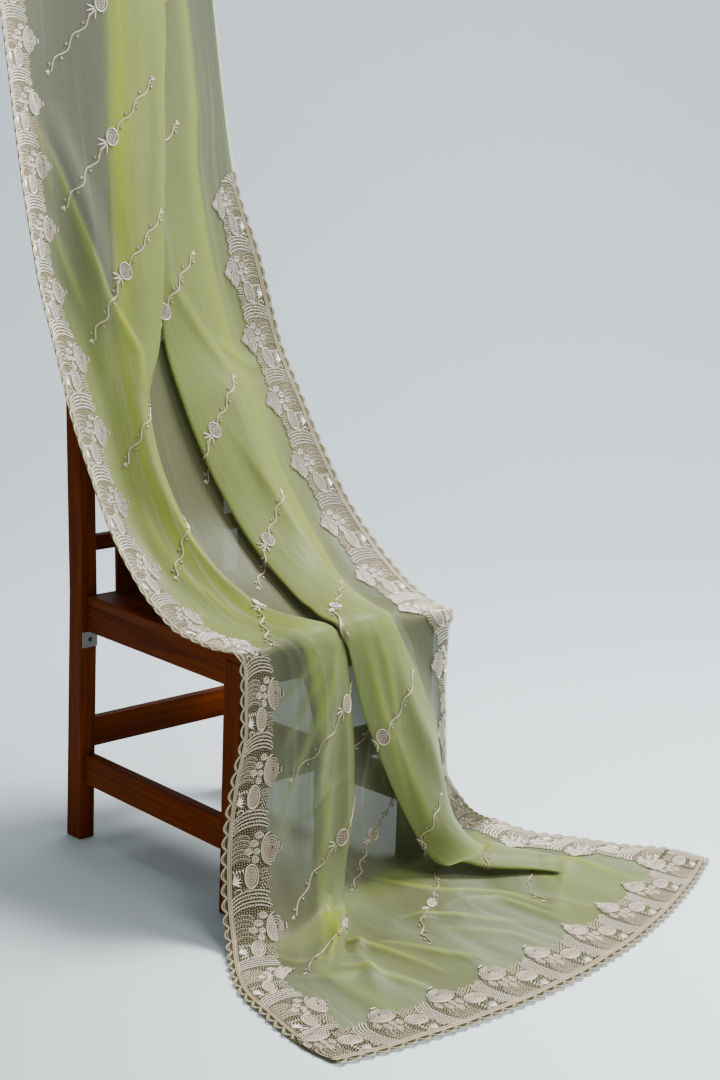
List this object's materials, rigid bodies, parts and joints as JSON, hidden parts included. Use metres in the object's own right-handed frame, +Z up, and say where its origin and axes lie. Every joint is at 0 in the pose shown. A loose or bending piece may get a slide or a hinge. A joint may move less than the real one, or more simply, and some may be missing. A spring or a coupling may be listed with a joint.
{
  "type": "organza saree draped over a wooden chair",
  "caption": "Pale green organza saree with beaded borders, hung from a pole, draped over a wooden side chair and spread on the floor.",
  "frame": {"origin": "middle of the whole part's box on the floor", "axes": "+X to the chair's right as seen from the front, -Y the way the chair faces, +Z up"},
  "size_m": [1.042, 1.22, 1.6946],
  "materials": {
    "organza": "sheer crisp organza, pale green, soft sheen, embroidered sprigs",
    "border": "dense beaded and thread-embroidered lace band, gold cords along its scalloped edge",
    "piping": "narrow satin rolled hem, pale green",
    "wood": "dark red-brown stained hardwood, satin varnish",
    "pole": "dark stained round pole, satin",
    "metal": "plain zinc-plated sheet"
  },
  "bodies": {
    "root": {"saree_tail": "organza", "border_left_tail": "border", "piping_tail": "piping", "saree_rise": "organza", "border_left_rise": "border", "piping_rise": "piping", "border_right_rise": "border", "saree_swoop": "organza", "border_left_swoop": "border", "border_right_swoop": "border", "saree_seat": "organza", "border_left_seat": "border", "border_right_seat": "border", "saree_fall": "organza", "border_left_fall": "border", "border_right_fall": "border", "saree_pallu": "organza", "border_left_pallu": "border", "border_right_pallu": "border", "border_end": "border", "chair_leg_left": "wood", "chair_post_left": "wood", "chair_leg_right": "wood", "chair_post_right": "wood", "chair_seat_rail_left": "wood", "chair_stretcher_left": "wood", "chair_seat_rail_right": "wood", "chair_stretcher_right": "wood", "chair_seat_rail_front": "wood", "chair_stretcher_front": "wood", "chair_seat_rail_back": "wood", "chair_stretcher_back": "wood", "chair_crest_rail": "wood", "chair_splat": "wood", "chair_back_rail_left": "wood", "chair_back_rail_right": "wood", "chair_seat": "wood", "chair_bracket": "metal", "hanging_pole": "pole"}
  },
  "joints": []
}
